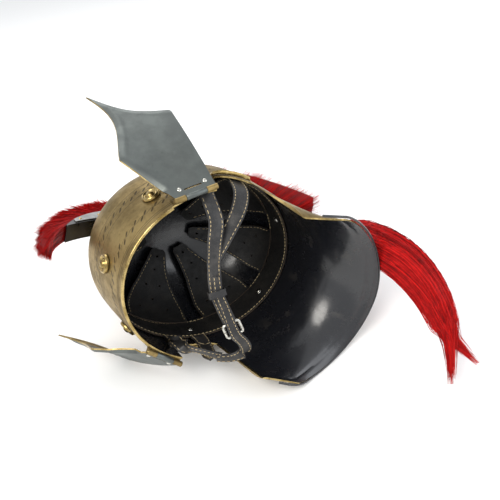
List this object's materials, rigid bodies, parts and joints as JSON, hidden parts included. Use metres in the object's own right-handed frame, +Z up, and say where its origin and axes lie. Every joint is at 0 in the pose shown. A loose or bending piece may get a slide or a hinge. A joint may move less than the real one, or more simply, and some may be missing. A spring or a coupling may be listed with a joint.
{
  "type": "roman legionary helmet",
  "caption": "Brass-finished helmet with hinged cheek guards, neck guard, leather liner, buckled chin strap and red horsehair crest, lying on its right side.",
  "frame": {"origin": "centre of the footprint on the surface that the helmet lies on", "axes": "+Z up, the wearer's left side of the helmet uppermost; +X towards the neck guard, +Y towards the crown"},
  "size_m": [0.3876, 0.4256, 0.2858],
  "materials": {
    "antique_brass": "antiqued",
    "satin_steel": "satin",
    "crest_side_sheet": "satin",
    "crest_holder_black": "painted",
    "red_horsehair": "matte",
    "liner_leather": "satin",
    "strap_leather": "satin",
    "nickel_hardware": "polished"
  },
  "bodies": {
    "root": {"helmet_shell": "antique_brass", "brow_edging": "antique_brass", "neck_edging": "antique_brass", "brow_boss_centre": "antique_brass", "brow_boss_left": "antique_brass", "brow_boss_right": "antique_brass", "left_ear_guard": "antique_brass", "right_ear_guard": "antique_brass", "left_hinge_leaf": "antique_brass", "right_hinge_leaf": "antique_brass", "left_hinge_pin": "satin_steel", "right_hinge_pin": "satin_steel", "crest_side_left": "crest_side_sheet", "crest_side_right": "crest_side_sheet", "crest_holder": "crest_holder_black", "crest_mount": "crest_holder_black", "crest_brush": "red_horsehair", "crest_tail": "red_horsehair", "liner_band": "liner_leather", "liner_tongue_1": "liner_leather", "liner_tongue_2": "liner_leather", "liner_tongue_3": "liner_leather", "liner_tongue_4": "liner_leather", "liner_tongue_5": "liner_leather", "liner_tongue_6": "liner_leather", "liner_tongue_7": "liner_leather", "chin_strap_left": "strap_leather", "chin_strap_right": "strap_leather", "strap_keeper": "strap_leather", "strap_buckle": "nickel_hardware", "liner_rivet_1": "nickel_hardware", "liner_rivet_2": "nickel_hardware", "liner_rivet_3": "nickel_hardware", "liner_rivet_4": "nickel_hardware", "liner_rivet_5": "nickel_hardware", "liner_rivet_6": "nickel_hardware"},
    "left_cheek": {"left_cheek_guard": "satin_steel"},
    "right_cheek": {"right_cheek_guard": "satin_steel"}
  },
  "joints": [
    {"name": "left_cheek_hinge", "type": "hinge", "parent": "root", "child": "left_cheek", "pos_m": [-0.02842, -0.02236, 0.21913], "axis": [0.9975, 0.0633, -0.0307], "range_deg": [0, 138]},
    {"name": "right_cheek_hinge", "type": "hinge", "parent": "root", "child": "right_cheek", "pos_m": [-0.10607, -0.04916, 0.06246], "axis": [-0.6304, 0.0633, 0.7737], "range_deg": [0, 146]}
  ]
}
